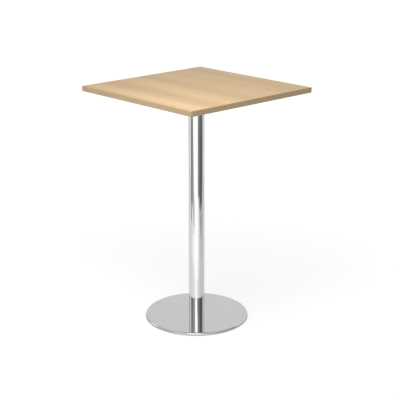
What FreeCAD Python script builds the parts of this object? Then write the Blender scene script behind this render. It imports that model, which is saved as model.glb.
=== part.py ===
"""High table: a square wood-decor top on a round chromed column and a low weighted base.

Sizes are in millimetres and +Z is up. The origin lies on the floor, on the column's axis.
The sides of the top run along X and Y.
"""

import FreeCAD, Part
import math
import os

# Overall sizes
TABLE_HEIGHT = 1140.0
TOP_SIDE = 750.0
TOP_THICKNESS = 25.0
BASE_DIAMETER = 500.0
COLUMN_DIAMETER = 76.0
COLUMN_WALL = 2.0

# Bands glued round the edges of the top panel
BAND_THICKNESS = 2.0
BAND_ROUND = 1.5

# Base cover and the ballast plate under it
COVER_SHEET = 1.2
COVER_RIM_RADIUS = 8.0
COVER_FLOOR_GAP = 2.0
BALLAST_THICKNESS = 8.0
BALLAST_RIM_CLEARANCE = 2.0
BALLAST_CHAMFER = 1.0

# Plates welded into the two ends of the column tube
COLUMN_TOP_PLATE_THICKNESS = 8.0
COLUMN_BOTTOM_PLATE_THICKNESS = 10.0
WELD_CLEARANCE = 0.1

# Spider under the top: four pressed arms with turned-down skirts
SPIDER_REACH = 290.0
SPIDER_SHEET = 3.0
SPIDER_BEND_RADIUS = 2.5
SPIDER_TURN = 45.0
ARM_COUNT = 4
ARM_ROOT_MARGIN = 4.0
ARM_TIP_WIDTH = 46.0
ARM_CROTCH_RADIUS = 30.0
SKIRT_ROOT_DEPTH = 28.0
SKIRT_TIP_DEPTH = 10.0
STIFFENER_THICKNESS = 5.0
STIFFENER_MARGIN = 10.0

# Countersunk machine screws that hold the column to the spider and to the base
MACHINE_SCREW_COUNT = 4
MACHINE_SCREW_DIAMETER = 8.0
MACHINE_SCREW_LENGTH = 16.0
MACHINE_HEAD_DIAMETER = 16.4
MACHINE_SOCKET_FLATS = 5.0
MACHINE_SOCKET_DEPTH = 3.0
MACHINE_SCREW_INSET = 13.0
MACHINE_CLEARANCE = 0.4
THREAD_CLEARANCE = 0.08

# Chipboard screws that hold the spider to the top panel
WOOD_SCREW_DIAMETER = 5.0
WOOD_SCREW_LENGTH = 18.0
WOOD_HEAD_DIAMETER = 10.0
WOOD_HEAD_HEIGHT = 3.2
WOOD_HEAD_RIM = 0.8
WOOD_TIP_LENGTH = 4.0
WOOD_SCREW_TIP_DISTANCE = 32.0
WOOD_SCREW_SPACING = 105.0
WOOD_HOLE_CLEARANCE = 0.4
PILOT_EXTRA_DEPTH = 1.0

# Levelling glides: a floor pad that turns on the foot of a threaded stud
GLIDE_COUNT = 4
GLIDE_TURN = 45.0
GLIDE_RIM_DISTANCE = 30.0
PAD_DIAMETER = 30.0
PAD_HEIGHT = 3.0
PAD_FLOOR = 1.0
PAD_CHAMFER = 0.6
GLIDE_PLAY = 0.2
STUD_DIAMETER = 8.0
STUD_TOP_CLEARANCE = 0.7
STUD_CHAMFER = 0.8
STUD_FOOT_DIAMETER = 17.0
STUD_FOOT_HEIGHT = 1.0
STUD_NECK_DIAMETER = 11.0
COLLAR_FLATS = 13.0
COLLAR_HEIGHT = 1.6

# Levels above the floor
collar_bottom = PAD_HEIGHT + GLIDE_PLAY
ballast_bottom = collar_bottom + COLLAR_HEIGHT
ballast_top = ballast_bottom + BALLAST_THICKNESS
cover_top = ballast_top + COVER_SHEET
panel_bottom = TABLE_HEIGHT - TOP_THICKNESS
web_bottom = panel_bottom - SPIDER_SHEET
stiffener_bottom = web_bottom - STIFFENER_THICKNESS

# Radii that several pieces share
column_radius = COLUMN_DIAMETER / 2
column_bore = column_radius - COLUMN_WALL
machine_circle = column_bore - MACHINE_SCREW_INSET
machine_radius = MACHINE_SCREW_DIAMETER / 2
machine_head_radius = MACHINE_HEAD_DIAMETER / 2
wood_radius = WOOD_SCREW_DIAMETER / 2
stud_radius = STUD_DIAMETER / 2
base_radius = BASE_DIAMETER / 2
glide_circle = base_radius - GLIDE_RIM_DISTANCE

UP = FreeCAD.Vector(0, 0, 1)
AXIS = FreeCAD.Vector(0, 0, 0)


def cylinder(radius, low, high, x=0.0):
    """Upright cylinder between two levels, with its axis at x."""
    return Part.makeCylinder(radius, high - low, FreeCAD.Vector(x, 0, low))


def cone(low_radius, high_radius, low, high):
    """Upright cone on the Z axis between two levels."""
    return Part.makeCone(low_radius, high_radius, high - low, FreeCAD.Vector(0, 0, low))


def hexagon(flats, low, high):
    """Upright hexagonal prism on the Z axis, measured across its flats."""
    corner = flats / 2 / math.cos(math.radians(30))
    points = []
    for step in range(7):
        angle = math.radians(60 * step)
        points.append(FreeCAD.Vector(corner * math.cos(angle), corner * math.sin(angle), low))
    return Part.Face(Part.makePolygon(points)).extrude(UP * (high - low))


def turned(points):
    """Solid of revolution about Z from a closed outline of (radius, level) points."""
    outline = [FreeCAD.Vector(radius, 0, level) for radius, level in points]
    outline.append(outline[0])
    return Part.Face(Part.makePolygon(outline)).revolve(AXIS, UP, 360)


def rotated(shape, angle):
    """Copy of a shape, turned about Z."""
    copy = shape.copy()
    copy.rotate(AXIS, UP, angle)
    return copy


def ring_of(shape, count, first_angle):
    """Copies of a shape at equal steps round Z."""
    return [rotated(shape, first_angle + 360 / count * step) for step in range(count)]


def band_edges(band, keeps):
    """Edges of an edge band whose middle lies on the outside, as keeps decides."""
    return [edge for edge in band.Edges if keeps(edge.CenterOfMass)]


def top_panel():
    """Chipboard panel inside its edge bands, with blind pilot holes for the chipboard screws."""
    side = TOP_SIDE - 2 * BAND_THICKNESS
    corner = FreeCAD.Vector(-side / 2, -side / 2, panel_bottom)
    panel = Part.makeBox(side, side, TOP_THICKNESS, corner)
    depth = WOOD_SCREW_LENGTH - SPIDER_SHEET + PILOT_EXTRA_DEPTH
    hole_radius = wood_radius + THREAD_CLEARANCE
    for x in wood_screw_positions():
        hole = cylinder(hole_radius, panel_bottom, panel_bottom + depth, x)
        panel = panel.cut(Part.makeCompound(ring_of(hole, ARM_COUNT, SPIDER_TURN)))
    return panel


def long_band():
    """Front band, as long as the top, with every outer edge and both corners rounded."""
    corner = FreeCAD.Vector(-TOP_SIDE / 2, -TOP_SIDE / 2, panel_bottom)
    band = Part.makeBox(TOP_SIDE, BAND_THICKNESS, TOP_THICKNESS, corner)
    inner_y = -TOP_SIDE / 2 + BAND_THICKNESS
    half_band = BAND_THICKNESS / 2
    outside = band_edges(band, lambda middle: middle.y < inner_y - half_band / 2)
    return band.makeFillet(BAND_ROUND, outside)


def short_band():
    """Right band, which ends against the long bands, with its two outer edges rounded."""
    length = TOP_SIDE - 2 * BAND_THICKNESS
    corner = FreeCAD.Vector(TOP_SIDE / 2 - BAND_THICKNESS, -length / 2, panel_bottom)
    band = Part.makeBox(BAND_THICKNESS, length, TOP_THICKNESS, corner)
    half_band = BAND_THICKNESS / 2
    middle_level = panel_bottom + TOP_THICKNESS / 2
    quarter = TOP_THICKNESS / 4

    def is_outer(middle):
        outside = middle.x > TOP_SIDE / 2 - half_band / 2
        return outside and abs(middle.z - middle_level) > quarter

    return band.makeFillet(BAND_ROUND, band_edges(band, is_outer))


def wood_screw_positions():
    """Distances of the two chipboard screws of one arm from the column's axis."""
    outer = SPIDER_REACH - WOOD_SCREW_TIP_DISTANCE
    return (outer - WOOD_SCREW_SPACING, outer)


def arm(inset, low, high):
    """One tapering round-ended arm along X, with its outline drawn in by inset."""
    root = column_radius + ARM_ROOT_MARGIN - inset
    tip = ARM_TIP_WIDTH / 2 - inset
    shoulder = SPIDER_REACH - ARM_TIP_WIDTH / 2
    near_root = FreeCAD.Vector(0, -root, low)
    near_tip = FreeCAD.Vector(shoulder, -tip, low)
    end = FreeCAD.Vector(shoulder + tip, 0, low)
    far_tip = FreeCAD.Vector(shoulder, tip, low)
    far_root = FreeCAD.Vector(0, root, low)
    edges = [
        Part.makeLine(near_root, near_tip),
        Part.Arc(near_tip, end, far_tip).toShape(),
        Part.makeLine(far_tip, far_root),
        Part.makeLine(far_root, near_root),
    ]
    return Part.Face(Part.Wire(edges)).extrude(UP * (high - low))


def cross(inset, low, high):
    """Four arms joined into one solid, with the corners between them rounded."""
    arms = ring_of(arm(inset, low, high), ARM_COUNT, 0)
    body = arms[0].multiFuse(arms[1:]).removeSplitter()
    corners = []
    for edge in body.Edges:
        middle = edge.CenterOfMass
        upright = abs(edge.tangentAt(edge.FirstParameter).z) > 0.99
        if upright and math.hypot(middle.x, middle.y) < SPIDER_REACH / 2:
            corners.append(edge)
    return body.makeFillet(ARM_CROTCH_RADIUS + inset, corners)


def spider():
    """Pressed cross: a flat web with skirts that get shallower towards the arm tips."""
    skirt_bottom = panel_bottom - SKIRT_ROOT_DEPTH
    shell = cross(0, skirt_bottom, panel_bottom)
    rim = [edge for edge in shell.Edges if edge.BoundBox.ZMin > panel_bottom - SPIDER_SHEET / 2]
    shell = shell.makeFillet(SPIDER_BEND_RADIUS, rim)
    shell = shell.cut(cross(SPIDER_SHEET, skirt_bottom, web_bottom))
    full_depth_radius = column_radius + STIFFENER_MARGIN + ARM_CROTCH_RADIUS
    tip_bottom = panel_bottom - SKIRT_TIP_DEPTH
    taper = turned([
        (full_depth_radius, skirt_bottom),
        (SPIDER_REACH, tip_bottom),
        (2 * SPIDER_REACH, tip_bottom),
        (2 * SPIDER_REACH, skirt_bottom),
    ])
    shell = shell.cut(taper)
    for x in wood_screw_positions():
        hole = cylinder(wood_radius + WOOD_HOLE_CLEARANCE, web_bottom, panel_bottom, x)
        shell = shell.cut(Part.makeCompound(ring_of(hole, ARM_COUNT, 0)))
    shell = rotated(shell, SPIDER_TURN)
    return shell.cut(Part.makeCompound(spider_screw_room()))


def stiffener():
    """Round plate welded under the middle of the spider, which the tube's upper end bears on."""
    plate = cylinder(column_radius + STIFFENER_MARGIN, stiffener_bottom, web_bottom)
    return plate.cut(Part.makeCompound(spider_screw_room()))


def countersunk_screw():
    """Machine screw with its head's flat face at level 0 and its shank pointing up."""
    head_height = machine_head_radius - machine_radius
    screw = cone(machine_head_radius, machine_radius, 0, head_height)
    screw = screw.fuse(cylinder(machine_radius, head_height, MACHINE_SCREW_LENGTH))
    return screw.cut(hexagon(MACHINE_SOCKET_FLATS, 0, MACHINE_SOCKET_DEPTH)).removeSplitter()


def countersunk_room():
    """Clearance hole and countersink for such a screw, in the same place."""
    wide = machine_head_radius + THREAD_CLEARANCE
    narrow = machine_radius + MACHINE_CLEARANCE
    sink = cone(wide, narrow, 0, wide - narrow)
    return sink.fuse(cylinder(narrow, 0, MACHINE_SCREW_LENGTH))


def on_machine_circle(shape, level, flipped):
    """The four places of a screw on its circle, seated at a level, pointing up or down."""
    piece = shape.copy()
    if flipped:
        piece.rotate(AXIS, FreeCAD.Vector(1, 0, 0), 180)
    piece.translate(FreeCAD.Vector(machine_circle, 0, level))
    return ring_of(piece, MACHINE_SCREW_COUNT, 0)


def spider_screw_room():
    """Room for the screws between the spider and the column."""
    return on_machine_circle(countersunk_room(), panel_bottom, True)


def base_screw_room():
    """Room for the screws between the base and the column."""
    return on_machine_circle(countersunk_room(), ballast_bottom, False)


def wood_screws():
    """Pan-head chipboard screws, two in each arm, pointing up into the panel."""
    head_radius = WOOD_HEAD_DIAMETER / 2
    tip = web_bottom + WOOD_SCREW_LENGTH
    screw = turned([
        (0, web_bottom - WOOD_HEAD_HEIGHT),
        (head_radius / 2, web_bottom - WOOD_HEAD_HEIGHT),
        (head_radius, web_bottom - WOOD_HEAD_RIM),
        (head_radius, web_bottom),
        (wood_radius, web_bottom),
        (wood_radius, tip - WOOD_TIP_LENGTH),
        (0, tip),
    ])
    screws = []
    for x in wood_screw_positions():
        placed = screw.copy()
        placed.translate(FreeCAD.Vector(x, 0, 0))
        screws += ring_of(placed, ARM_COUNT, SPIDER_TURN)
    return screws


def column_tube():
    """Chromed tube between the base cover and the spider's stiffener."""
    tube = cylinder(column_radius, cover_top, stiffener_bottom)
    return tube.cut(cylinder(column_bore, cover_top, stiffener_bottom))


def end_plate(low, high):
    """Plate welded into an end of the tube, with the tapped holes for the machine screws."""
    plate = cylinder(column_bore - WELD_CLEARANCE, low, high)
    hole = cylinder(machine_radius + THREAD_CLEARANCE, low, high, machine_circle)
    return plate.cut(Part.makeCompound(ring_of(hole, MACHINE_SCREW_COUNT, 0)))


def base_cover():
    """Pressed cover: a flat disc whose rim turns down in an arc to just above the floor."""
    rim_bottom = COVER_FLOOR_GAP
    bend = min(COVER_RIM_RADIUS, cover_top - rim_bottom)
    inner_bend = bend - COVER_SHEET
    centre = FreeCAD.Vector(base_radius - bend, 0, cover_top - bend)
    slope = FreeCAD.Vector(math.sqrt(0.5), 0, math.sqrt(0.5))
    outward = FreeCAD.Vector(1, 0, 0)
    middle_top = FreeCAD.Vector(0, 0, cover_top)
    middle_under = FreeCAD.Vector(0, 0, ballast_top)
    outer_foot = FreeCAD.Vector(base_radius, 0, rim_bottom)
    inner_foot = FreeCAD.Vector(base_radius - COVER_SHEET, 0, rim_bottom)
    outer_start = centre + UP * bend
    outer_end = centre + outward * bend
    inner_start = centre + UP * inner_bend
    inner_end = centre + outward * inner_bend
    edges = [
        Part.makeLine(middle_top, outer_start),
        Part.Arc(outer_start, centre + slope * bend, outer_end).toShape(),
        Part.makeLine(outer_end, outer_foot),
        Part.makeLine(outer_foot, inner_foot),
        Part.makeLine(inner_foot, inner_end),
        Part.Arc(inner_end, centre + slope * inner_bend, inner_start).toShape(),
        Part.makeLine(inner_start, middle_under),
        Part.makeLine(middle_under, middle_top),
    ]
    cover = Part.Face(Part.Wire(edges)).revolve(AXIS, UP, 360)
    return cover.cut(Part.makeCompound(base_screw_room()))


def ballast_plate():
    """Steel disc that gives the base its weight and carries the glides and the base screws."""
    radius = base_radius - COVER_RIM_RADIUS - BALLAST_RIM_CLEARANCE
    plate = cylinder(radius, ballast_bottom, ballast_top)
    rims = [edge for edge in plate.Edges if edge.BoundBox.ZLength < BALLAST_CHAMFER]
    plate = plate.makeChamfer(BALLAST_CHAMFER, rims)
    plate = plate.cut(Part.makeCompound(base_screw_room()))
    tapped = cylinder(stud_radius + THREAD_CLEARANCE, ballast_bottom, ballast_top, glide_circle)
    return plate.cut(Part.makeCompound(ring_of(tapped, GLIDE_COUNT, GLIDE_TURN)))


def glide_pad():
    """Plastic floor pad, hollowed for the stud's foot under a retaining lip."""
    radius = PAD_DIAMETER / 2
    pocket_radius = STUD_FOOT_DIAMETER / 2 + GLIDE_PLAY
    pocket_top = PAD_FLOOR + STUD_FOOT_HEIGHT + GLIDE_PLAY
    mouth_radius = STUD_NECK_DIAMETER / 2 + GLIDE_PLAY
    pad = turned([
        (0, 0),
        (radius - PAD_CHAMFER, 0),
        (radius, PAD_CHAMFER),
        (radius, PAD_HEIGHT - PAD_CHAMFER),
        (radius - PAD_CHAMFER, PAD_HEIGHT),
        (mouth_radius, PAD_HEIGHT),
        (mouth_radius, pocket_top),
        (pocket_radius, pocket_top),
        (pocket_radius, PAD_FLOOR),
        (0, PAD_FLOOR),
    ])
    pad.translate(FreeCAD.Vector(glide_circle, 0, 0))
    return pad


def glide_stud():
    """Threaded stud with a spanner collar, whose foot turns in the pad."""
    foot_radius = STUD_FOOT_DIAMETER / 2
    neck_radius = STUD_NECK_DIAMETER / 2
    foot_top = PAD_FLOOR + STUD_FOOT_HEIGHT
    stud_top = ballast_top - STUD_TOP_CLEARANCE
    stud = turned([
        (0, PAD_FLOOR),
        (foot_radius, PAD_FLOOR),
        (foot_radius, foot_top),
        (neck_radius, foot_top),
        (neck_radius, collar_bottom),
        (stud_radius, collar_bottom),
        (stud_radius, stud_top - STUD_CHAMFER),
        (stud_radius - STUD_CHAMFER, stud_top),
        (0, stud_top),
    ])
    stud = stud.fuse(hexagon(COLLAR_FLATS, collar_bottom, ballast_bottom)).removeSplitter()
    stud.translate(FreeCAD.Vector(glide_circle, 0, 0))
    return stud


def save(node, solids):
    """Writes one node, made of one or more separate solids."""
    shape = solids[0] if len(solids) == 1 else Part.makeCompound(solids)
    shape.exportStep("parts/" + node + ".step")


os.makedirs("parts", exist_ok=True)

save("top_panel", [top_panel()])
front_band = long_band()
right_band = short_band()
save("edge_band_front", [front_band])
save("edge_band_right", [right_band])
save("edge_band_back", [rotated(front_band, 180)])
save("edge_band_left", [rotated(right_band, 180)])

save("spider", [spider()])
save("spider_stiffener", [stiffener()])
save("spider_screws", on_machine_circle(countersunk_screw(), panel_bottom, True))
save("top_screws", wood_screws())

save("column_tube", [column_tube()])
save("column_top_plate", [end_plate(stiffener_bottom - COLUMN_TOP_PLATE_THICKNESS, stiffener_bottom)])
save("column_bottom_plate", [end_plate(cover_top, cover_top + COLUMN_BOTTOM_PLATE_THICKNESS)])

save("base_cover", [base_cover()])
save("ballast_plate", [ballast_plate()])
save("base_screws", on_machine_circle(countersunk_screw(), ballast_bottom, False))

pads = ring_of(glide_pad(), GLIDE_COUNT, GLIDE_TURN)
studs = ring_of(glide_stud(), GLIDE_COUNT, GLIDE_TURN)
for number, (pad, stud) in enumerate(zip(pads, studs), start=1):
    save("glide_pad_" + str(number), [pad])
    save("glide_stud_" + str(number), [stud])
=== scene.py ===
"""High table, a wood-decor top on a chromed column and base: finishes, small parts, studio and camera.

Lengths are in metres and angles in degrees. The origin lies on the floor, on the column's axis.
Azimuth 0 points along -Y and grows towards +X.
"""

import math

import bmesh
import bpy
from mathutils import Matrix, Vector


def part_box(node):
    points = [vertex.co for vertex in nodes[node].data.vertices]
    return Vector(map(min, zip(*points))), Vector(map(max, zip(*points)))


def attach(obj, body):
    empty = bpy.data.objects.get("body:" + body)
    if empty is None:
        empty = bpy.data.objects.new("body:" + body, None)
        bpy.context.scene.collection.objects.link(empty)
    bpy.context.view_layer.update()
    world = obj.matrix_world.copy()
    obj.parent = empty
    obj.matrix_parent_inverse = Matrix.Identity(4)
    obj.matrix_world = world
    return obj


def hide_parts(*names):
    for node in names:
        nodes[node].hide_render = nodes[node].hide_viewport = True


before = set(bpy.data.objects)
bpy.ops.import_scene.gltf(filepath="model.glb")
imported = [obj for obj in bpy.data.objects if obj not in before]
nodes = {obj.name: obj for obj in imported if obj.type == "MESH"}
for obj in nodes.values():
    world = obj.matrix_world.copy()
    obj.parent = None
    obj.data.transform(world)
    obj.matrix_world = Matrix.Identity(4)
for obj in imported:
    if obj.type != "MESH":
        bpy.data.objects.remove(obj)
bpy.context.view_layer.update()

# Places that the frame gives
TOP_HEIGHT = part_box("top_panel")[1].z
BASE_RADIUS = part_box("base_cover")[1].x

# Camera of the photograph, with its lens in millimetres
CAMERA_AZIMUTH = 47.167
CAMERA_DISTANCE = 4.7074
CAMERA_HEIGHT = 2.0639
CAMERA_PITCH = 17.364
CAMERA_PAN = -0.199
CAMERA_LENS = 93.12

# Chromed tube and cover
TUBE_WALL = 0.002
TUBE_EDGE = 0.0003
COVER_SHEET = 0.0012
COVER_RIM_RADIUS = 0.008
COVER_EDGE = 0.0003
COVER_HOLD = 0.0003

# Fineness of the meshes
TURNED_STEPS = 256
ARC_STEPS = 14
HEAD_STEPS = 48
FOOT_STEPS = 64
THREAD_STEPS = 32
HEXAGON_SIDES = 6
SMOOTH_LIMIT = 32
MERGE_DISTANCE = 1e-6
SLIVER_AREA = 1e-13

# Chipboard screws, two under each arm of the spider
ARM_COUNT = 4
ARM_TURN = 45
WOOD_SCREW_RADIUS = 0.0025
WOOD_SCREW_HEAD_RADIUS = 0.005
WOOD_SCREW_SPACING = 0.105
WOOD_PITCH = 0.0022
WOOD_THREAD_DEPTH = 0.0009
HEAD_DOME_SHARE = 0.75
RECESS_SPAN = 0.0052
RECESS_SLOT = 0.0011
RECESS_DEPTH = 0.0019
RECESS_SPAN_TAPER = 0.45
RECESS_SLOT_TAPER = 0.7

# Levelling studs
GLIDE_COUNT = 4
GLIDE_TURN = 45
STUD_RADIUS = 0.004
STUD_PITCH = 0.00125
STUD_THREAD_DEPTH = 0.0006
STUD_FOOT_RADIUS = 0.0085
STUD_FOOT_HEIGHT = 0.001
STUD_FOOT_EDGE = 0.0001
STUD_NECK_RADIUS = 0.0055
COLLAR_FLATS = 0.013
COLLAR_HEIGHT = 0.0016
COLLAR_CHAMFER = 0.0002

# One turn of a thread from its root to its crest, as shares of the thread's depth
THREAD_PROFILE = (0, 0, 1, 1)

# Weld round the stiffener, whose face bulges below a short straight lip
WELD_RADIUS = 0.0026
WELD_LIP = 0.1 * WELD_RADIUS
WELD_SINK = WELD_RADIUS / 4
WELD_ARC_STEPS = 6
WELD_RIPPLE = 0.0003
WELD_RIPPLE_COUNT = 90
WELD_RIPPLE_STEPS = 4

# Where in the endless wood print the panel and the side bands are cut, and how far its streaks wander
GRAIN_ORIGIN = (930.0, 18.398, 0.0)
CROSS_GRAIN_ORIGIN = (310.0, 7.5, 0.0)
GRAIN_DRIFT = 0.05

# Tones of the finishes, each as (noise value, linear colour) stops
PANEL_TONES = (
    (0.30, (0.580, 0.384, 0.187)),
    (0.50, (0.663, 0.453, 0.233)),
    (0.70, (0.745, 0.528, 0.286)),
)
BAND_TONES = (
    (0.30, (0.575, 0.415, 0.235)),
    (0.50, (0.655, 0.486, 0.285)),
    (0.70, (0.735, 0.560, 0.340)),
)
CHROME_TONES = ((0.30, (0.517, 0.519, 0.523)), (0.70, (0.539, 0.540, 0.542)))
POWDER_TONES = ((0.35, (0.017, 0.017, 0.018)), (0.72, (0.024, 0.024, 0.025)))
ZINC_TONES = ((0.30, (0.48, 0.50, 0.53)), (0.70, (0.62, 0.63, 0.65)))
STEEL_TONES = ((0.40, (0.42, 0.41, 0.40)), (0.75, (0.30, 0.24, 0.19)))
PLASTIC_TONES = ((0.40, (0.030, 0.030, 0.032)), (0.78, (0.075, 0.074, 0.072)))
FIBRE_TONE = (0.45, 0.29, 0.14)
PORE_TONE = (0.40, 0.255, 0.13)

# Surroundings and floor, with the brightness that the camera sees rising away from the table
AMBIENT_LEVEL = 0.40
FLOOR_SIZE = 60.0
FLOOR_TONE = 0.86
FLOOR_SHADE = 0.60
FLOOR_FADE = (0.8, 3.0)
FLOOR_WHITE = (0.68, 0.90)

# Painted shadow on the floor under the base's rim, and a painted contact shadow round the base where the
# chrome mirrors the floor
UNDER_FADE = (BASE_RADIUS - 0.004, BASE_RADIUS + 0.006)
PAINTED_SHADOW_UNDER_BASE = (0.4, 1.0)
CONTACT_FADE = (BASE_RADIUS, BASE_RADIUS + 0.06)
PAINTED_CONTACT_SHADOW = (0.35, 1.0)

# Painted light and shade on the floor, seen only in the chrome: brightness of the mirrored floor by
# azimuth from the camera's
FLOOR_ROUND = (
    (-180, 0.65),
    (-140, 0.62),
    (-104, 0.98),
    (-84, 0.78),
    (-60, 0.96),
    (-34, 1.05),
    (-20, 1.50),
    (6, 1.50),
    (26, 1.00),
    (58, 0.58),
    (80, 0.56),
    (120, 0.75),
    (180, 0.65),
)

# Cards that glow, light nothing and only mirrors see: painted reflections of bright and dark studio
# surroundings in the chrome
# Plain cards: name, distance, first and last azimuth from the camera's, (height, brightness) stops
CARD_HEIGHT = 1.3
PLAIN_CARDS = (
    ("edge_card_left", 2.6, -147, -115, ((0, 0.8), (0.8, 0.8), (1.0, 1.05))),
    ("side_card_left", 2.6, -115, -93, ((0, 1.65), (0.8, 1.65), (1.0, 1.9))),
    ("side_card_right", 2.6, 97, 140, ((0, 1.12), (0.8, 1.12), (1.0, 1.45))),
)

# Shaped cards: name, distance, (azimuth, height) corners, (height, brightness) stops
SHAPED_CARDS = (
    (
        "dark_card_left",
        1.86,
        ((-91, 0), (-53, 0), (-50, 0.6), (-50, CARD_HEIGHT), (-91, CARD_HEIGHT)),
        ((0, 0.9), (0.05, 0.48), (0.45, 0.42), (0.9, 0.62), (CARD_HEIGHT, 1.0)),
    ),
    (
        "grey_slope_left",
        1.87,
        ((-53, 0), (-30, 0), (-50, 0.5)),
        ((0, 0.9),),
    ),
    (
        "grey_card_right",
        2.03,
        ((17, 0), (42, 0), (42, CARD_HEIGHT), (11, CARD_HEIGHT), (11, 0.75), (17, 0.6)),
        ((0, 1.0), (0.03, 0.46), (0.45, 0.42), (0.9, 0.66), (CARD_HEIGHT, 1.0)),
    ),
    (
        "dark_card_right",
        1.80,
        ((38, 0), (81, 0), (91, 0.2), (91, CARD_HEIGHT), (42, CARD_HEIGHT), (42, 0.2)),
        ((0, 0.6), (0.06, 0.2), (0.45, 0.2), (0.9, 0.3), (CARD_HEIGHT, 1.0)),
    ),
    (
        "bright_card",
        16.1,
        ((-21, 6.44), (7, 6.44), (7, 6.88), (11, 7.03), (11, 13.1), (-21, 13.1)),
        ((0, 3.7),),
    ),
)

# Glowing sheets just above the floor that only mirrors see, painted light and shade on the floor in the
# chrome: name, brightness, (azimuth, distance) corners
SHEET_LIFT = 0.001
FLOOR_SHEETS = (
    ("bright_sheet", 2.0, ((-32, 2.05), (17, 2.05), (17, 5.5), (-49, 5.5))),
    ("grey_sheet_left", 0.85, ((-54, 1.85), (-53, 1.7), (-42, 1.42), (-31, 1.42), (-31, 1.85))),
    ("grey_sheet_edge", 0.5, ((-90, 1.85), (-72, 1.85), (-74, 1.5), (-86, 1.5))),
    ("grey_sheet_right", 0.62, ((41, 1.78), (90, 1.78), (69, 1.12))),
    ("pale_sheet_left", 1.75, ((-54, 1.3), (-28, 1.3), (-34, 0.75), (-50, 0.75))),
    ("pale_sheet_right", 1.95, ((10, 1.95), (22, 1.95), (20, 0.8), (10, 0.8))),
    ("foot_sheet_left", 1.33, ((-38, 0.55), (-23, 0.55), (-23, 0.31), (-38, 0.31))),
    ("foot_sheet_middle", 1.45, ((1, 0.53), (21, 0.53), (21, 0.31), (1, 0.31))),
    ("foot_sheet_right", 1.2, ((21, 0.57), (36, 0.57), (36, 0.31), (21, 0.31))),
    ("foot_sheet_edge", 1.02, ((52, 0.8), (92, 1.0), (92, 0.31), (52, 0.31))),
)

# Lamps: name, azimuth, distance, height, size, power in watts and height of the point aimed at
LAMPS = (
    ("key", 35, 0.88, 1.95, 0.4, 7.8, TOP_HEIGHT),
    ("overhead", 0, 0.0, 3.2, 2.0, 9.2, TOP_HEIGHT),
    ("fill", -15, 2.2, 0.95, 0.9, 4.6, 1.0),
)


def at_azimuth(azimuth, distance, height):
    """Point round the column."""
    angle = math.radians(azimuth)
    return Vector((math.sin(angle) * distance, -math.cos(angle) * distance, height))


# Shader building blocks


def new_material(name):
    """Empty node material, with its tree and its main shader."""
    material = bpy.data.materials.new(name)
    material.use_nodes = True
    tree = material.node_tree
    return material, tree, tree.nodes["Principled BSDF"]


def set_shader(shader, **values):
    """Sets inputs of the main shader that are the same all over the surface."""
    for label, value in values.items():
        shader.inputs[label.replace("_", " ")].default_value = value


def object_coordinates(tree, turn=0):
    """Coordinates of the frame in metres, turned about Z."""
    source = tree.nodes.new("ShaderNodeTexCoord").outputs["Object"]
    turned = tree.nodes.new("ShaderNodeVectorRotate")
    turned.rotation_type = "Z_AXIS"
    turned.inputs["Angle"].default_value = math.radians(turn)
    tree.links.new(source, turned.inputs["Vector"])
    return turned.outputs["Vector"]


def moved(tree, vector, step):
    """A vector moved by a constant or by another vector."""
    node = tree.nodes.new("ShaderNodeVectorMath")
    tree.links.new(vector, node.inputs[0])
    if isinstance(step, tuple):
        node.inputs[1].default_value = step
    else:
        tree.links.new(step, node.inputs[1])
    return node.outputs["Vector"]


def scaled(tree, vector, stretch):
    """A vector scaled along each axis."""
    node = tree.nodes.new("ShaderNodeVectorMath")
    node.operation = "MULTIPLY"
    node.inputs[1].default_value = stretch
    tree.links.new(vector, node.inputs[0])
    return node.outputs["Vector"]


def noise(tree, vector, scale, detail=3.0, roughness=0.5):
    """Noise between 0 and 1, with about `scale` features to the metre."""
    node = tree.nodes.new("ShaderNodeTexNoise")
    node.inputs["Scale"].default_value = scale
    node.inputs["Detail"].default_value = detail
    node.inputs["Roughness"].default_value = roughness
    tree.links.new(vector, node.inputs["Vector"])
    return node.outputs[0]


def streaks(tree, vector, squeeze, scale, detail=3.0, roughness=0.5):
    """Noise drawn out along X, where it has only `squeeze` times as many features."""
    return noise(tree, scaled(tree, vector, (squeeze, 1, 1)), scale, detail, roughness)


def math_node(tree, operation, first, second):
    """Arithmetic on two sockets or numbers."""
    node = tree.nodes.new("ShaderNodeMath")
    node.operation = operation
    for socket, value in zip(node.inputs, (first, second)):
        if isinstance(value, (int, float)):
            socket.default_value = value
        else:
            tree.links.new(value, socket)
    return node.outputs["Value"]


def weighted(tree, *parts):
    """Sum of (socket, weight) parts."""
    total = None
    for socket, weight in parts:
        term = math_node(tree, "MULTIPLY", socket, weight)
        total = term if total is None else math_node(tree, "ADD", total, term)
    return total


def remap(tree, value, source, target):
    """A value carried smoothly from one (low, high) range to another, and held at the ends."""
    node = tree.nodes.new("ShaderNodeMapRange")
    node.interpolation_type = "SMOOTHSTEP"
    for label, number in zip(("From Min", "From Max", "To Min", "To Max"), (*source, *target)):
        node.inputs[label].default_value = number
    tree.links.new(value, node.inputs["Value"])
    return node.outputs["Result"]


def ramp(tree, value, stops):
    """Colour through (position, colour) stops."""
    node = tree.nodes.new("ShaderNodeValToRGB")
    elements = node.color_ramp.elements
    while len(elements) < len(stops):
        elements.new(0.5)
    while len(elements) > len(stops):
        elements.remove(elements[-1])
    for element, (position, colour) in zip(elements, stops):
        element.position = position
        element.color = (*colour, 1)
    tree.links.new(value, node.inputs["Fac"])
    return node.outputs["Color"]


def darken(tree, colour, factor, tone):
    """A colour mixed towards a darker tone by a factor."""
    node = tree.nodes.new("ShaderNodeMix")
    node.data_type = "RGBA"
    tree.links.new(factor, node.inputs["Factor"])
    tree.links.new(colour, node.inputs["A"])
    node.inputs["B"].default_value = (*tone, 1)
    return node.outputs["Result"]


def colour_by(tree, shader, value, tones):
    """Colours the surface by a value."""
    tree.links.new(ramp(tree, value, tones), shader.inputs["Base Color"])


def roughen_by(tree, shader, value, source, target):
    """Lets a value between two limits set the roughness between two others."""
    tree.links.new(remap(tree, value, source, target), shader.inputs["Roughness"])


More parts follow.
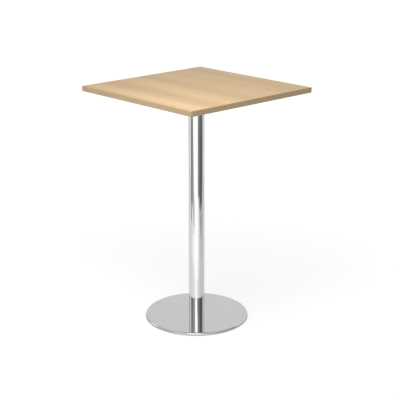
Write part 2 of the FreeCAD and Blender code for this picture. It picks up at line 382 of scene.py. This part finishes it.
def bump(tree, shader, height, depth, strength):
    """Surface relief of a real depth."""
    node = tree.nodes.new("ShaderNodeBump")
    node.inputs["Strength"].default_value = strength
    node.inputs["Distance"].default_value = depth
    tree.links.new(height, node.inputs["Height"])
    tree.links.new(node.outputs["Normal"], shader.inputs["Normal"])


# Finishes


def wood_decor(name, turn, origin, tones):
    """Melamine with a pale oak print: soft broad streaks, fine fibres and short pores along the grain."""
    material, tree, shader = new_material(name)
    set_shader(shader, Specular_IOR_Level=0.22)
    along = moved(tree, object_coordinates(tree, turn), origin)
    drift = streaks(tree, along, squeeze=0.5, scale=2.2, detail=1.0)
    shift = tree.nodes.new("ShaderNodeCombineXYZ")
    tree.links.new(math_node(tree, "MULTIPLY", drift, GRAIN_DRIFT), shift.inputs["Y"])
    grain = moved(tree, along, shift.outputs["Vector"])

    broad = streaks(tree, grain, squeeze=0.08, scale=9, detail=1.0)
    streak = streaks(tree, grain, squeeze=0.05, scale=34)
    fibre = streaks(tree, grain, squeeze=0.03, scale=420, roughness=0.6)
    pores = streaks(tree, grain, squeeze=0.025, scale=1500, detail=1.0)
    pearl = noise(tree, along, scale=2600, detail=1.0)

    fibre_mask = remap(tree, fibre, source=(0.35, 0.62), target=(0.16, 0.0))
    pore_mask = remap(tree, pores, source=(0.60, 0.70), target=(0.0, 0.35))
    colour = ramp(tree, weighted(tree, (broad, 0.7), (streak, 0.3)), tones)
    colour = darken(tree, colour, fibre_mask, FIBRE_TONE)
    colour = darken(tree, colour, pore_mask, PORE_TONE)
    tree.links.new(colour, shader.inputs["Base Color"])
    roughen_by(tree, shader, fibre, source=(0.3, 0.7), target=(0.40, 0.52))
    relief = weighted(tree, (pearl, 1.0), (pore_mask, -0.8))
    bump(tree, shader, relief, depth=0.00006, strength=0.5)
    return material


def chrome_plate():
    """Polished chrome with the faint haze and waviness of a plated sheet."""
    material, tree, shader = new_material("chrome_plate")
    set_shader(shader, Metallic=1.0)
    place = object_coordinates(tree)
    colour_by(tree, shader, noise(tree, place, scale=7), CHROME_TONES)
    wiping = noise(tree, place, scale=60, detail=4.0, roughness=0.6)
    roughen_by(tree, shader, wiping, source=(0.3, 0.75), target=(0.015, 0.035))
    bump(tree, shader, noise(tree, place, scale=9, detail=1.0), depth=0.00001, strength=0.3)
    return material


def powder_coat():
    """Black powder coat with its fine pebbled skin, a little paler in patches."""
    material, tree, shader = new_material("black_powder_coat")
    set_shader(shader, Specular_IOR_Level=0.45)
    place = object_coordinates(tree)
    cloud = noise(tree, place, scale=30, detail=4.0)
    colour_by(tree, shader, cloud, POWDER_TONES)
    roughen_by(tree, shader, cloud, source=(0.3, 0.7), target=(0.48, 0.54))
    bump(tree, shader, noise(tree, place, scale=1400, detail=2.0), depth=0.00008, strength=0.6)
    return material


def zinc():
    """Bright zinc plating, slightly blue, with cloudy roughness."""
    material, tree, shader = new_material("zinc_plating")
    set_shader(shader, Metallic=1.0)
    place = object_coordinates(tree)
    cloud = noise(tree, place, scale=160, detail=4.0)
    colour_by(tree, shader, cloud, ZINC_TONES)
    roughen_by(tree, shader, cloud, source=(0.3, 0.7), target=(0.22, 0.40))
    bump(tree, shader, noise(tree, place, scale=1800, detail=2.0), depth=0.00002, strength=0.4)
    return material


def bare_steel():
    """Cut steel with fine machining lines and a thin brown bloom."""
    material, tree, shader = new_material("bare_steel")
    set_shader(shader, Metallic=1.0)
    place = object_coordinates(tree)
    lines = streaks(tree, place, squeeze=0.03, scale=1500, detail=2.0)
    colour_by(tree, shader, noise(tree, place, scale=45, detail=5.0), STEEL_TONES)
    roughen_by(tree, shader, lines, source=(0.3, 0.7), target=(0.32, 0.5))
    bump(tree, shader, lines, depth=0.00002, strength=0.5)
    return material


def moulded_plastic():
    """Dark grey moulded plastic, scuffed in patches."""
    material, tree, shader = new_material("moulded_plastic")
    place = object_coordinates(tree)
    scuff = noise(tree, place, scale=220, detail=5.0, roughness=0.65)
    colour_by(tree, shader, scuff, PLASTIC_TONES)
    roughen_by(tree, shader, scuff, source=(0.35, 0.75), target=(0.45, 0.68))
    bump(tree, shader, noise(tree, place, scale=2200, detail=2.0), depth=0.00004, strength=0.5)
    return material


# Meshes


def arc(centre_radius, centre_height, radius, start, end, steps=ARC_STEPS):
    """Points of (radius, height) on an arc between two angles."""
    points = []
    for step in range(steps + 1):
        angle = math.radians(start + (end - start) * step / steps)
        across = centre_radius + radius * math.cos(angle)
        points.append((across, centre_height + radius * math.sin(angle)))
    return points


def turned_mesh(outline, closed, steps=TURNED_STEPS, sway=None):
    """Mesh turned about Z from (radius, height) points. Points on the axis become single corners."""
    mesh = bmesh.new()
    rings = []
    for index, (radius, height) in enumerate(outline):
        if radius == 0:
            rings.append([mesh.verts.new((0, 0, height))])
            continue
        ring = []
        for step in range(steps):
            angle = 2 * math.pi * step / steps
            grown = radius + (sway(index, angle) if sway else 0)
            ring.append(mesh.verts.new((grown * math.cos(angle), grown * math.sin(angle), height)))
        rings.append(ring)
    pairs = list(zip(rings, rings[1:]))
    if closed:
        pairs.append((rings[-1], rings[0]))
    for low, high in pairs:
        for step in range(steps):
            after = (step + 1) % steps
            corners = [low[step % len(low)], low[after % len(low)]]
            corners += [high[after % len(high)], high[step % len(high)]]
            mesh.faces.new(list(dict.fromkeys(corners)))
    bmesh.ops.recalc_face_normals(mesh, faces=mesh.faces)
    return mesh


def threaded_mesh(low, high, radius, depth, pitch):
    """Rod with a helical thread that runs out to its root at both ends."""
    mesh = bmesh.new()
    rows = len(THREAD_PROFILE)
    count = int(math.ceil((high - low) / pitch + 1)) * rows
    grid = []
    for row in range(count + 1):
        ring = []
        for step in range(THREAD_STEPS + 1):
            turn = step / THREAD_STEPS
            level = low + pitch * (row / rows + turn - 1)
            level = min(max(level, low), high)
            runout = min(1.0, (level - low) / pitch, (high - level) / pitch)
            reach = radius - depth * (1 - THREAD_PROFILE[row % rows] * max(0.0, runout))
            angle = 2 * math.pi * turn
            ring.append(mesh.verts.new((reach * math.cos(angle), reach * math.sin(angle), level)))
        grid.append(ring)
    for first, second in zip(grid, grid[1:]):
        for step in range(THREAD_STEPS):
            mesh.faces.new((first[step], first[step + 1], second[step + 1], second[step]))
    bmesh.ops.remove_doubles(mesh, verts=mesh.verts, dist=MERGE_DISTANCE)
    slivers = [face for face in mesh.faces if face.calc_area() < SLIVER_AREA]
    bmesh.ops.delete(mesh, geom=slivers, context="FACES")
    bmesh.ops.holes_fill(mesh, edges=mesh.edges, sides=0)
    bmesh.ops.recalc_face_normals(mesh, faces=mesh.faces)
    return mesh


def hexagon_mesh(flats, low, high, chamfer):
    """Hexagonal collar with its upper and lower corners broken."""
    corner = flats / 2 / math.cos(math.pi / HEXAGON_SIDES)
    outline = [
        (0, low),
        (corner - chamfer, low),
        (corner, low + chamfer),
        (corner, high - chamfer),
        (corner - chamfer, high),
        (0, high),
    ]
    return turned_mesh(outline, closed=False, steps=HEXAGON_SIDES)


def merged(parts):
    """One mesh of several (mesh, matrix) parts, each kept as its own closed shell."""
    whole = bmesh.new()
    for part, matrix in parts:
        copy = bpy.data.meshes.new("part")
        part.to_mesh(copy)
        copy.transform(matrix)
        whole.from_mesh(copy)
        bpy.data.meshes.remove(copy)
    return whole


def cut_with(mesh, cutters):
    """A mesh less each of the (mesh, matrix) cutters in turn."""
    target = bpy.data.objects.new("target", bpy.data.meshes.new("target"))
    mesh.to_mesh(target.data)
    bpy.context.scene.collection.objects.link(target)
    tools = []
    for cutter, matrix in cutters:
        tool = bpy.data.objects.new("tool", bpy.data.meshes.new("tool"))
        cutter.to_mesh(tool.data)
        tool.data.transform(matrix)
        bpy.context.scene.collection.objects.link(tool)
        modifier = target.modifiers.new("cut", "BOOLEAN")
        modifier.operation = "DIFFERENCE"
        modifier.solver = "EXACT"
        modifier.object = tool
        tools.append(tool)
    shown = target.evaluated_get(bpy.context.evaluated_depsgraph_get())
    result = bmesh.new()
    result.from_mesh(shown.to_mesh())
    for piece in [target, *tools]:
        bpy.data.objects.remove(piece)
    return result


def add_piece(name, mesh, material, body, slot, *replaced):
    """Makes a piece of a mesh, dresses it and lets it ride on a body in place of CAD nodes."""
    data = bpy.data.meshes.new(name)
    mesh.to_mesh(data)
    mesh.free()
    data.shade_smooth()
    data.set_sharp_from_angle(angle=math.radians(SMOOTH_LIMIT))
    data.materials.append(material)
    piece = bpy.data.objects.new(name, data)
    bpy.context.scene.collection.objects.link(piece)
    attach(piece, body)
    if replaced:
        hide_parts(*replaced)


# Chromed pieces


def column(material):
    """Round tube with broken edges."""
    low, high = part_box("column_tube")
    radius = high.x
    bore = radius - TUBE_WALL
    outline = [
        (bore, low.z),
        (radius - TUBE_EDGE, low.z),
        (radius, low.z + TUBE_EDGE),
        (radius, high.z - TUBE_EDGE),
        (radius - TUBE_EDGE, high.z),
        (bore, high.z),
    ]
    mesh = turned_mesh(outline, closed=True)
    add_piece("column", mesh, material, "table", "chrome_plate", "column_tube")


def cover(material):
    """Pressed disc with a rolled rim, flat up to where the rim starts to bend."""
    low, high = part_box("base_cover")
    radius = high.x
    bend_radius = radius - COVER_RIM_RADIUS
    bend_height = high.z - COVER_RIM_RADIUS
    inner_bend = COVER_RIM_RADIUS - COVER_SHEET
    flat_radius = bend_radius - COVER_HOLD
    outline = [(0, high.z), (flat_radius, high.z)]
    outline += arc(bend_radius, bend_height, COVER_RIM_RADIUS, start=90, end=0)
    outline += [(radius, low.z + COVER_EDGE), (radius - COVER_EDGE, low.z)]
    outline += [(radius - COVER_SHEET + COVER_EDGE, low.z), (radius - COVER_SHEET, low.z + COVER_EDGE)]
    outline += arc(bend_radius, bend_height, inner_bend, start=0, end=90)
    outline += [(flat_radius, high.z - COVER_SHEET), (0, high.z - COVER_SHEET)]
    mesh = turned_mesh(outline, closed=False)
    add_piece("base_disc", mesh, material, "table", "chrome_plate", "base_cover")


# Fasteners


def recessed_head(low, high, radius):
    """Domed screw head, upside down, with a cross recess in its crown."""
    dome = (high - low) * HEAD_DOME_SHARE
    outline = [(0, low)]
    for step in range(1, ARC_STEPS + 1):
        angle = math.radians(90 * step / ARC_STEPS)
        outline.append((radius * math.sin(angle), low + dome * (1 - math.cos(angle))))
    outline += [(radius, high), (0, high)]
    head = turned_mesh(outline, closed=False, steps=HEAD_STEPS)
    bars = []
    for turn in (0, 90):
        bar = bmesh.new()
        bmesh.ops.create_cube(bar, size=1)
        for corner in bar.verts:
            deep = corner.co.z > 0
            span = RECESS_SPAN * (RECESS_SPAN_TAPER if deep else 1.0)
            slot = RECESS_SLOT * (RECESS_SLOT_TAPER if deep else 1.0)
            level = low + RECESS_DEPTH if deep else low - RECESS_DEPTH
            corner.co = Vector((corner.co.x * span, corner.co.y * slot, level))
        bars.append((bar, Matrix.Rotation(math.radians(turn), 4, "Z")))
    return cut_with(head, bars)


def top_screws(material):
    """Pan-head chipboard screws, two under each arm of the spider, with a thread into the panel."""
    low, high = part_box("top_screws")
    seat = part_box("spider_stiffener")[1].z
    head = recessed_head(low.z, seat, WOOD_SCREW_HEAD_RADIUS)
    thread = threaded_mesh(seat, high.z, WOOD_SCREW_RADIUS, WOOD_THREAD_DEPTH, WOOD_PITCH)
    outer = math.hypot(high.x, high.y) - WOOD_SCREW_HEAD_RADIUS * math.sqrt(2)
    parts = []
    for distance in (outer - WOOD_SCREW_SPACING, outer):
        for arm in range(ARM_COUNT):
            turn = Matrix.Rotation(math.radians(ARM_TURN + 360 / ARM_COUNT * arm), 4, "Z")
            place = turn @ Matrix.Translation((distance, 0, 0))
            parts += [(head, place), (thread, place)]
    add_piece("top_screw_set", merged(parts), material, "table", "zinc_screw", "top_screws")


def glide_stud(number, material):
    """Threaded stud with a hexagonal collar and the foot that turns in the pad."""
    node = "glide_stud_" + str(number)
    low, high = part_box(node)
    middle = (low + high) / 2
    collar_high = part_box("ballast_plate")[0].z
    collar_low = collar_high - COLLAR_HEIGHT
    foot_high = low.z + STUD_FOOT_HEIGHT
    outline = [
        (0, low.z),
        (STUD_FOOT_RADIUS - STUD_FOOT_EDGE, low.z),
        (STUD_FOOT_RADIUS, low.z + STUD_FOOT_EDGE),
        (STUD_FOOT_RADIUS, foot_high - STUD_FOOT_EDGE),
        (STUD_FOOT_RADIUS - STUD_FOOT_EDGE, foot_high),
        (STUD_NECK_RADIUS, foot_high),
        (STUD_NECK_RADIUS, collar_low),
        (0, collar_low),
    ]
    foot = turned_mesh(outline, closed=False, steps=FOOT_STEPS)
    collar = hexagon_mesh(COLLAR_FLATS, collar_low, collar_high, COLLAR_CHAMFER)
    rod = threaded_mesh(collar_high, high.z, STUD_RADIUS, STUD_THREAD_DEPTH, STUD_PITCH)
    turn = Matrix.Rotation(math.radians(GLIDE_TURN + 360 / GLIDE_COUNT * (number - 1)), 4, "Z")
    place = Matrix.Translation((middle.x, middle.y, 0)) @ turn
    mesh = merged([(foot, place), (collar, place), (rod, place)])
    piece = "levelling_stud_" + str(number)
    add_piece(piece, mesh, material, "stud_" + str(number), "zinc_screw", node)


def weld_bead(material):
    """Rippled fillet weld round the stiffener, against the underside of the spider."""
    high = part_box("spider_stiffener")[1]
    outline = [(high.x - WELD_SINK, high.z), (high.x + WELD_RADIUS, high.z)]
    face_start = len(outline)
    face_radius = WELD_RADIUS - WELD_LIP
    outline += arc(high.x, high.z - WELD_LIP, face_radius, start=0, end=-90, steps=WELD_ARC_STEPS)[1:]
    face_end = len(outline)
    outline += [(high.x - WELD_SINK, high.z - WELD_RADIUS)]

    def ripple(index, angle):
        on_face = face_start <= index < face_end
        return WELD_RIPPLE * math.sin(WELD_RIPPLE_COUNT * angle) if on_face else 0

    mesh = turned_mesh(outline, closed=True, steps=WELD_RIPPLE_COUNT * WELD_RIPPLE_STEPS, sway=ripple)
    add_piece("stiffener_weld", mesh, material, "table", "black_coated_steel")


# Studio


def light_path(tree, kind):
    """1 for rays of one kind, else 0."""
    return tree.nodes.new("ShaderNodeLightPath").outputs[kind]


def light_path_factor(tree):
    """1 for rays from the camera and for mirrored or refracted rays, else 0."""
    seen = light_path(tree, "Is Camera Ray")
    for kind in ("Is Glossy Ray", "Is Transmission Ray"):
        seen = math_node(tree, "MAXIMUM", seen, light_path(tree, kind))
    return seen


def studio_world():
    """White surroundings that light the object at a lower, plain level."""
    world = bpy.data.worlds.new("studio")
    bpy.context.scene.world = world
    world.use_nodes = True
    tree = world.node_tree
    background = tree.nodes["Background"]
    background.inputs["Color"].default_value = (1, 1, 1, 1)
    strength = remap(tree, light_path_factor(tree), source=(0, 1), target=(AMBIENT_LEVEL, 1.0))
    tree.links.new(strength, background.inputs["Strength"])


def stage_object(name, corners, material):
    """Flat object that belongs to the studio and not to the table."""
    mesh = bpy.data.meshes.new(name)
    mesh.from_pydata(corners, [], [tuple(range(len(corners)))])
    mesh.materials.append(material)
    stage = bpy.data.objects.new(name, mesh)
    bpy.context.scene.collection.objects.link(stage)
    return stage


def stage_material(name):
    """Node material of the studio with nothing in it, with its tree and its surface socket."""
    material = bpy.data.materials.new(name)
    material.use_nodes = True
    tree = material.node_tree
    tree.nodes.remove(tree.nodes["Principled BSDF"])
    return material, tree, tree.nodes["Material Output"].inputs["Surface"]


def matt_shader(tree, tone):
    """Grey diffuse shader."""
    node = tree.nodes.new("ShaderNodeBsdfDiffuse")
    node.inputs["Color"].default_value = (tone, tone, tone, 1)
    return node.outputs["BSDF"]


def floor_brightness(tree):
    """Glow of the floor, darkened by a painted shadow under the base's rim; mirrors see it as
    mirrored_floor gives it, with a painted contact shadow round the base.
    """
    distance = tree.nodes.new("ShaderNodeVectorMath")
    distance.operation = "LENGTH"
    tree.links.new(object_coordinates(tree), distance.inputs[0])
    reach = distance.outputs["Value"]
    open_floor = remap(tree, reach, FLOOR_FADE, FLOOR_WHITE)
    # the camera's level, with the painted shadow under the base's rim
    plain = math_node(tree, "MULTIPLY", open_floor, remap(tree, reach, UNDER_FADE, PAINTED_SHADOW_UNDER_BASE))
    # painted contact shadow round the base, which only mirrors see
    mirrored_contact_shadow = remap(tree, reach, CONTACT_FADE, PAINTED_CONTACT_SHADOW)
    mirrored = math_node(tree, "MULTIPLY", mirrored_floor(tree), mirrored_contact_shadow)
    glossy = light_path(tree, "Is Glossy Ray")
    gain = math_node(tree, "MULTIPLY", math_node(tree, "SUBTRACT", mirrored, plain), glossy)
    return math_node(tree, "ADD", plain, gain)


def mirrored_floor(tree):
    """Painted light and shade of the floor as the chrome mirrors it, round the column from the camera's
    azimuth.
    """
    turned = object_coordinates(tree, 90 - CAMERA_AZIMUTH)
    angle = tree.nodes.new("ShaderNodeTexGradient")
    angle.gradient_type = "RADIAL"
    tree.links.new(turned, angle.inputs["Vector"])
    brightest = max(level for _, level in FLOOR_ROUND)
    stops = [(0.5 + azimuth / 360, (level / brightest,) * 3) for azimuth, level in FLOOR_ROUND]
    grey = ramp(tree, angle.outputs["Fac"], stops)
    return math_node(tree, "MULTIPLY", grey, brightest)


def studio_floor():
    """Pale floor that looks white and keeps the table's soft shadow."""
    material, tree, surface = stage_material("floor")
    white = tree.nodes.new("ShaderNodeEmission")
    tree.links.new(floor_brightness(tree), white.inputs["Strength"])
    seen = tree.nodes.new("ShaderNodeAddShader")
    tree.links.new(matt_shader(tree, FLOOR_SHADE), seen.inputs[0])
    tree.links.new(white.outputs["Emission"], seen.inputs[1])
    mix = tree.nodes.new("ShaderNodeMixShader")
    tree.links.new(light_path_factor(tree), mix.inputs["Fac"])
    tree.links.new(matt_shader(tree, FLOOR_TONE), mix.inputs[1])
    tree.links.new(seen.outputs["Shader"], mix.inputs[2])
    tree.links.new(mix.outputs["Shader"], surface)
    half = FLOOR_SIZE / 2
    corners = [(-half, -half, 0), (half, -half, 0), (half, half, 0), (-half, half, 0)]
    stage_object("floor", corners, material)


def painted_reflection_card(name, corners, stops):
    """Glowing card that lights nothing and that only mirrors show, a painted reflection, with its
    brightness given by (height, level) stops.
    """
    material, tree, surface = stage_material(name)
    glow = tree.nodes.new("ShaderNodeEmission")
    height = tree.nodes.new("ShaderNodeSeparateXYZ")
    tree.links.new(object_coordinates(tree), height.inputs["Vector"])
    share = math_node(tree, "DIVIDE", height.outputs["Z"], CARD_HEIGHT)
    brightest = max(level for _, level in stops)
    grey = [(at / CARD_HEIGHT, (level / brightest,) * 3) for at, level in stops]
    tree.links.new(ramp(tree, share, grey), glow.inputs["Color"])
    glow.inputs["Strength"].default_value = brightest
    tree.links.new(glow.outputs["Emission"], surface)
    card = stage_object(name, corners, material)
    card.visible_camera = False
    card.visible_diffuse = False
    card.visible_shadow = False
    card.visible_transmission = False


def standing(distance, outline):
    """Corners of a standing card from (azimuth from the camera's, height) points."""
    return [at_azimuth(CAMERA_AZIMUTH + azimuth, distance, height) for azimuth, height in outline]


def lying(outline):
    """Corners of a sheet on the floor from (azimuth from the camera's, distance) points."""
    return [at_azimuth(CAMERA_AZIMUTH + azimuth, distance, SHEET_LIFT) for azimuth, distance in outline]


def studio_cards():
    """Cards and sheets whose painted reflections give the chrome its stripes."""
    for name, distance, first, last, stops in PLAIN_CARDS:
        outline = ((first, 0), (last, 0), (last, CARD_HEIGHT), (first, CARD_HEIGHT))
        painted_reflection_card(name, standing(distance, outline), stops)
    for name, distance, outline, stops in SHAPED_CARDS:
        painted_reflection_card(name, standing(distance, outline), stops)
    for name, level, outline in FLOOR_SHEETS:
        painted_reflection_card(name, lying(outline), ((0, level),))


def soft_light(name, azimuth, distance, height, size, power, aim_height):
    """Square soft box that is aimed at the column's axis and stays out of the mirrors."""
    lamp = bpy.data.lights.new(name, "AREA")
    lamp.shape = "SQUARE"
    lamp.size = size
    lamp.energy = power
    light = bpy.data.objects.new(name, lamp)
    light.location = at_azimuth(azimuth, distance, height)
    aim = Vector((0, 0, aim_height)) - light.location
    light.rotation_euler = aim.to_track_quat("-Z", "Y").to_euler()
    light.visible_glossy = False
    light.visible_camera = False
    bpy.context.scene.collection.objects.link(light)


def photograph_camera():
    """Camera at the photograph's place, level from side to side."""
    lens = bpy.data.cameras.new("camera")
    lens.lens = CAMERA_LENS
    camera = bpy.data.objects.new("camera", lens)
    camera.location = at_azimuth(CAMERA_AZIMUTH, CAMERA_DISTANCE, CAMERA_HEIGHT)
    tilt = math.radians(90 - CAMERA_PITCH)
    camera.rotation_euler = (tilt, 0, math.radians(CAMERA_AZIMUTH + CAMERA_PAN))
    bpy.context.scene.collection.objects.link(camera)
    bpy.context.scene.camera = camera


# Finishes of the nodes that show as they are

chrome = chrome_plate()
powder = powder_coat()
zinc_plating = zinc()
steel = bare_steel()
plastic = moulded_plastic()
decor = wood_decor("wood_decor", turn=0, origin=GRAIN_ORIGIN, tones=PANEL_TONES)
band_along = wood_decor("band_decor_along", turn=0, origin=GRAIN_ORIGIN, tones=BAND_TONES)
band_across = wood_decor("band_decor_across", turn=90, origin=CROSS_GRAIN_ORIGIN, tones=BAND_TONES)

finishes = {
    "top_panel": decor,
    "edge_band_front": band_along,
    "edge_band_back": band_along,
    "edge_band_left": band_across,
    "edge_band_right": band_across,
    "spider": powder,
    "spider_stiffener": powder,
    "ballast_plate": powder,
    "column_top_plate": steel,
    "column_bottom_plate": steel,
    "spider_screws": zinc_plating,
    "base_screws": zinc_plating,
}
for number in range(1, GLIDE_COUNT + 1):
    finishes["glide_pad_" + str(number)] = plastic
for node, material in finishes.items():
    nodes[node].data.materials.clear()
    nodes[node].data.materials.append(material)

# Pieces of finer form

column(chrome)
cover(chrome)
top_screws(zinc_plating)
for number in range(1, GLIDE_COUNT + 1):
    glide_stud(number, zinc_plating)
weld_bead(powder)

# Studio and camera

studio_world()
studio_floor()
studio_cards()
for lamp_values in LAMPS:
    soft_light(*lamp_values)
photograph_camera()
bpy.context.scene.view_settings.view_transform = "Standard"
